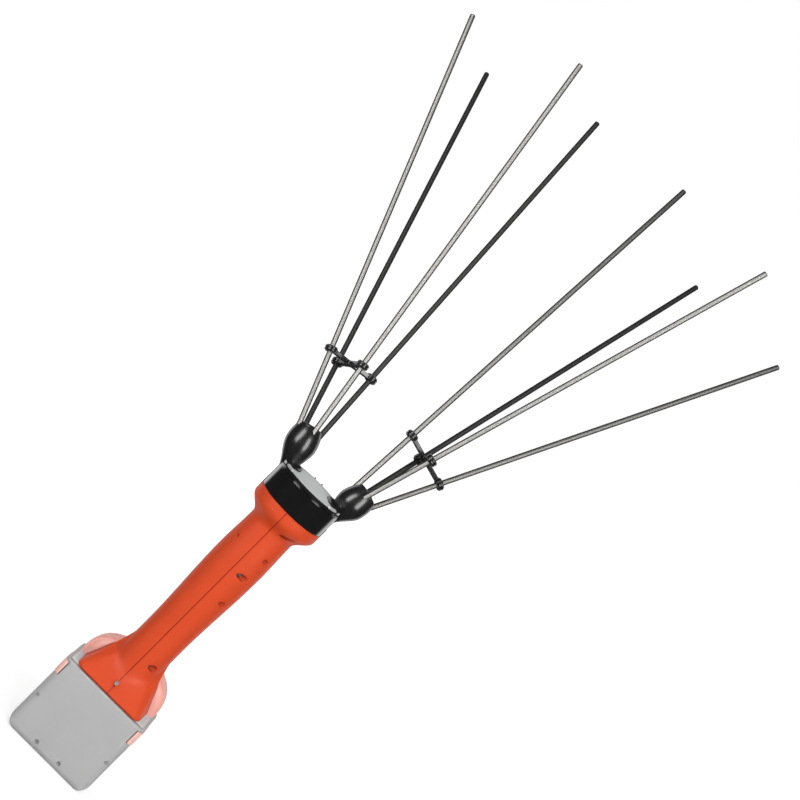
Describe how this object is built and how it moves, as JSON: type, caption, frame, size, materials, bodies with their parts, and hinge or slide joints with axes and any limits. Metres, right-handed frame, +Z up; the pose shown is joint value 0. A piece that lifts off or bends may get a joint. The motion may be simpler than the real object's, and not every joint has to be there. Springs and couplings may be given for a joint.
{
  "type": "electric olive harvester",
  "caption": "Hand-held electric olive harvester: square battery foot, round grip, gear head and two beating arms that spread slender rods into a comb.",
  "frame": {"origin": "centre of the flat underside of the battery pack", "axes": "+Z up the grip towards the rods, +X to the right seen from the front, -Y is the front with the shells' seam and recesses, the rods lean back towards +Y"},
  "size_m": [0.4068, 0.2458, 0.7281],
  "materials": {
    "orange_shell": "satin moulded",
    "pale_dock": "satin moulded",
    "pale_button": "satin moulded",
    "bright_steel": "ground",
    "dark_screw": "blackened",
    "lamp_lens": "polished",
    "cast_alloy": "cast",
    "gloss_black": "polished",
    "cap_grey": "satin",
    "soft_black": "moulded",
    "gear_steel": "machined",
    "brass_metal": "bright",
    "motor_steel": "plated",
    "matte_black": "fine grain",
    "magnet_dark": "sintered",
    "copper_winding": "wound",
    "board_green": "lacquered",
    "lead_red": "smooth",
    "holder_black": "moulded",
    "rod_graphite": "drawn",
    "spacer_black": "moulded",
    "battery_grey": "satin",
    "cell_wrap": "sleeved"
  },
  "bodies": {
    "handle": {"left_handle_shell": "orange_shell", "right_handle_shell": "orange_shell", "battery_dock": "pale_dock", "foot_pin": "bright_steel", "shell_screws": "dark_screw", "status_lamp": "lamp_lens", "head_frame": "cast_alloy", "head_collar": "gloss_black", "head_cap": "cap_grey", "slot_seals": "soft_black", "pivot_pins": "bright_steel", "gear_housing": "gear_steel", "gearbox_cover": "cast_alloy", "crank_bearings": "bright_steel", "motor_plate": "cast_alloy", "motor_can": "motor_steel", "motor_end_bell": "matte_black", "motor_magnets": "magnet_dark", "motor_bushes": "brass_metal", "switch_body": "matte_black", "trigger_spring": "bright_steel", "controller_board": "board_green", "wiring": "lead_red", "dock_terminals": "brass_metal"},
    "crank": {"planet_carrier": "gear_steel", "planet_pins": "bright_steel", "crankshaft": "bright_steel"},
    "planet_1": {"planet_gear_1": "gear_steel"},
    "planet_2": {"planet_gear_2": "gear_steel"},
    "planet_3": {"planet_gear_3": "gear_steel"},
    "rotor": {"motor_shaft": "bright_steel", "motor_armature": "copper_winding", "sun_pinion": "brass_metal"},
    "left_arm_set": {"left_lever": "cast_alloy", "left_arm": "holder_black", "left_rod_1": "rod_graphite", "left_rod_2": "rod_graphite", "left_rod_3": "rod_graphite", "left_rod_4": "rod_graphite", "left_spacer": "spacer_black"},
    "right_arm_set": {"right_lever": "cast_alloy", "right_arm": "holder_black", "right_rod_1": "rod_graphite", "right_rod_2": "rod_graphite", "right_rod_3": "rod_graphite", "right_rod_4": "rod_graphite", "right_spacer": "spacer_black"},
    "trigger_body": {"trigger": "matte_black"},
    "battery": {"battery_front": "battery_grey", "battery_rear": "battery_grey", "battery_screws": "dark_screw", "battery_cells": "cell_wrap", "battery_board": "board_green", "battery_terminals": "brass_metal", "button_springs": "bright_steel"},
    "left_release": {"left_button": "pale_button"},
    "right_release": {"right_button": "pale_button"}
  },
  "joints": [
    {"name": "left_arm_swing", "type": "hinge", "parent": "handle", "child": "left_arm_set", "pos_m": [-0.0242, 0, 0.3002], "axis": [0, 1, 0], "range_deg": [-5, 5]},
    {"name": "right_arm_swing", "type": "hinge", "parent": "handle", "child": "right_arm_set", "pos_m": [0.0242, 0, 0.3002], "axis": [0, 1, 0], "range_deg": [-5, 5]},
    {"name": "crank_spin", "type": "hinge", "parent": "handle", "child": "crank", "pos_m": [0, 0, 0.28], "axis": [0, 0, 1], "continuous": true},
    {"name": "rotor_spin", "type": "hinge", "parent": "handle", "child": "rotor", "pos_m": [0, 0, 0.24], "axis": [0, 0, 1], "continuous": true},
    {"name": "planet_1_spin", "type": "hinge", "parent": "crank", "child": "planet_1", "pos_m": [0.0108, 0, 0.2639], "axis": [0, 0, 1], "continuous": true},
    {"name": "planet_2_spin", "type": "hinge", "parent": "crank", "child": "planet_2", "pos_m": [-0.0054, 0.00935, 0.2639], "axis": [0, 0, 1], "continuous": true},
    {"name": "planet_3_spin", "type": "hinge", "parent": "crank", "child": "planet_3", "pos_m": [-0.0054, -0.00935, 0.2639], "axis": [0, 0, 1], "continuous": true},
    {"name": "trigger_pull", "type": "slide", "parent": "handle", "child": "trigger_body", "axis": [0, -1, 0], "range_m": [0, 0.005], "stiffness_N_per_m": 900, "springref_m": -0.002},
    {"name": "battery_slide", "type": "slide", "parent": "handle", "child": "battery", "axis": [0, 0, -1], "range_m": [0, 0.04]},
    {"name": "left_release_press", "type": "slide", "parent": "battery", "child": "left_release", "axis": [1, 0, 0], "range_m": [0, 0.0025], "stiffness_N_per_m": 1500, "springref_m": -0.001},
    {"name": "right_release_press", "type": "slide", "parent": "battery", "child": "right_release", "axis": [-1, 0, 0], "range_m": [0, 0.0025], "stiffness_N_per_m": 1500, "springref_m": -0.001}
  ],
  "couplings": [
    {"joint": "right_arm_swing", "follows": "left_arm_swing", "ratio": -1},
    {"joint": "rotor_spin", "follows": "crank_spin", "ratio": 4.5},
    {"joint": "planet_1_spin", "follows": "crank_spin", "ratio": -2.8},
    {"joint": "planet_2_spin", "follows": "crank_spin", "ratio": -2.8},
    {"joint": "planet_3_spin", "follows": "crank_spin", "ratio": -2.8}
  ]
}
